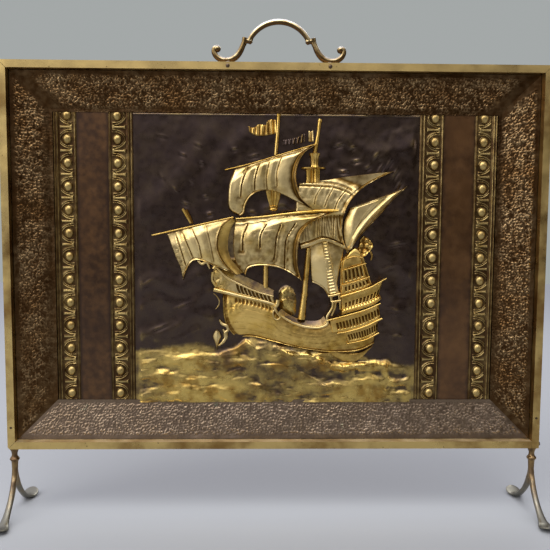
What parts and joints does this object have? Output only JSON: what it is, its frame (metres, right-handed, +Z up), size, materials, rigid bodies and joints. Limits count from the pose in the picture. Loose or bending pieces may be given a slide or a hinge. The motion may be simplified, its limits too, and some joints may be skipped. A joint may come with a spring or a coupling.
{
  "type": "fireplace screen",
  "caption": "Free-standing brass fireplace screen with a hammered border, moulded pilasters, a sailing ship in relief, a scrolled handle and two splayed feet.",
  "frame": {"origin": "on the floor, under the middle of the frame", "axes": "+X across the screen to the viewer's right, -Y out of the decorated front, +Z up"},
  "size_m": [0.67, 0.1342, 0.6089],
  "materials": {
    "frame_brass": "worn polished brass with brown stains",
    "handle_brass": "worn cast brass, darker in the hollows",
    "foot_brass": "brown cast brass, dull and greenish at the toes",
    "hammered_brass": "dark bronzed, pitted by hammering",
    "moulding_brass": "dark bronzed with rubbed high spots",
    "plain_brass": "dark bronzed, satin",
    "relief_brass": "pressed sheet, polished high relief on a dark bronzed ground",
    "steel": "dull, darkened",
    "hardboard": "matt brown pressed board"
  },
  "bodies": {
    "screen": {"top_rail": "frame_brass", "bottom_rail": "frame_brass", "left_stile": "frame_brass", "right_stile": "frame_brass", "corner_key_top_left": "steel", "corner_key_top_right": "steel", "corner_key_bottom_left": "steel", "corner_key_bottom_right": "steel", "left_key_pin": "steel", "right_key_pin": "steel", "butt_joint_screw": "steel", "handle": "handle_brass", "left_handle_pin": "steel", "right_handle_pin": "steel", "hammered_border_top": "hammered_brass", "hammered_border_right": "hammered_brass", "hammered_border_bottom": "hammered_brass", "hammered_border_left": "hammered_brass", "egg_and_dart_inner_left": "moulding_brass", "egg_and_dart_outer_left": "moulding_brass", "egg_and_dart_inner_right": "moulding_brass", "egg_and_dart_outer_right": "moulding_brass", "plain_band_left": "plain_brass", "plain_band_right": "plain_brass", "ship_panel": "relief_brass", "backing_board": "hardboard", "board_screw_top_1": "steel", "board_screw_top_2": "steel", "board_screw_top_3": "steel", "board_screw_bottom_1": "steel", "board_screw_bottom_2": "steel", "board_screw_bottom_3": "steel", "board_screw_left_1": "steel", "board_screw_left_2": "steel", "board_screw_right_1": "steel", "board_screw_right_2": "steel", "left_foot_clamp_screw": "steel", "right_foot_clamp_screw": "steel"},
    "left_foot_body": {"left_foot": "foot_brass"},
    "right_foot_body": {"right_foot": "foot_brass"}
  },
  "joints": [
    {"name": "left_foot_swivel", "type": "hinge", "parent": "screen", "child": "left_foot_body", "pos_m": [-0.3255, 0, 0.086], "axis": [0, 0, 1], "range_deg": [-90, 90]},
    {"name": "right_foot_swivel", "type": "hinge", "parent": "screen", "child": "right_foot_body", "pos_m": [0.3255, 0, 0.086], "axis": [0, 0, 1], "range_deg": [-90, 90]}
  ]
}
